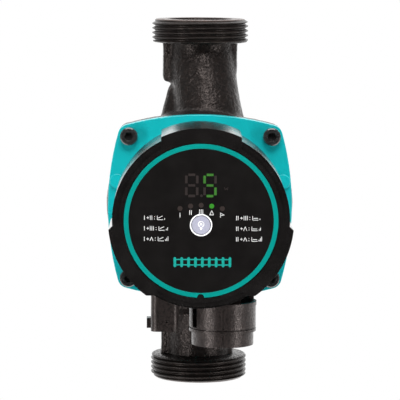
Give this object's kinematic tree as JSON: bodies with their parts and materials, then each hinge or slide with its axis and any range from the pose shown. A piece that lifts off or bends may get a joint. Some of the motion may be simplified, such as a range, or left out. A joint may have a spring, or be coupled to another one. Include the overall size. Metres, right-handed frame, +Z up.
{
  "type": "circulator pump",
  "caption": "Inline wet-rotor circulator pump with threaded union ports, a square-flanged motor and a round control head with a display, mode lights and one button.",
  "frame": {"origin": "centre of the lower (inlet) union face", "axes": "+Z up the pipe line from inlet to outlet, -Y out of the control head's front face, +X to the right seen from the front"},
  "size_m": [0.0916, 0.1252, 0.18],
  "materials": {
    "cast_iron": "rough black dip paint over sand-cast iron",
    "motor_paint": "smooth satin turquoise powder paint on die-cast aluminium",
    "head_plastic": "fine-grained black moulded plastic with satin edges",
    "label_gloss": "smooth black printed label film",
    "ring_plastic": "smooth teal trim ring",
    "button_plastic": "translucent pale lilac-grey key cap",
    "white_plastic": "white translucent light ring",
    "led_green": "diffused light pipe",
    "black_screw": "black oxide machine screw",
    "stainless": "drawn stainless sheet",
    "carbon": "carbon graphite, lapped",
    "ceramic_shaft": "ground ceramic",
    "magnet": "sintered magnet",
    "impeller_plastic": "glass-filled plastic",
    "rubber": "moulded rubber",
    "laminations": "stacked electrical steel sheets",
    "copper_wire": "enamelled copper winding",
    "bobbin_plastic": "natural nylon",
    "circuit_board": "green solder mask",
    "component_black": "moulded component body",
    "contact_metal": "tinned brass contact"
  },
  "bodies": {
    "pump": {"pump_housing": "cast_iron", "wear_ring": "stainless", "bearing_plate": "stainless", "pump_bearing": "carbon", "head_bearing": "carbon", "bearing_holder": "stainless", "rotor_can": "stainless", "body_gasket": "rubber", "can_o_ring": "rubber", "stator_core": "laminations", "stator_coils": "copper_wire", "coil_bobbins": "bobbin_plastic", "stator_housing": "motor_paint", "flange_screws": "black_screw", "motor_end_cap": "head_plastic", "control_base": "head_plastic", "control_cover": "head_plastic", "cover_seal": "rubber", "power_board": "circuit_board", "board_screws": "contact_metal", "bulk_capacitors": "component_black", "filter_choke": "copper_wire", "power_module": "component_black", "phase_pins": "contact_metal", "board_link": "bobbin_plastic", "display_board": "circuit_board", "digit_display": "component_black", "digit_segments": "led_green", "mode_leds": "led_green", "tact_switch": "component_black", "button_halo": "white_plastic", "face_label": "label_gloss", "label_ring": "ring_plastic", "inlet_shroud": "head_plastic", "inlet_block": "head_plastic", "inlet_pins": "contact_metal", "terminal_cover": "head_plastic"},
    "rotor": {"impeller": "impeller_plastic", "impeller_shroud": "impeller_plastic", "shaft": "ceramic_shaft", "rotor_magnet": "magnet", "rotor_sleeve": "stainless", "thrust_ring": "carbon"},
    "button": {"mode_button": "button_plastic"}
  },
  "joints": [
    {"name": "rotor_spin", "type": "hinge", "parent": "pump", "child": "rotor", "pos_m": [0, 0, 0.09], "axis": [0, -1, 0], "continuous": true},
    {"name": "mode_button_press", "type": "slide", "parent": "pump", "child": "button", "axis": [0, 1, 0], "range_m": [0, 0.0006], "stiffness_N_per_m": 500}
  ]
}
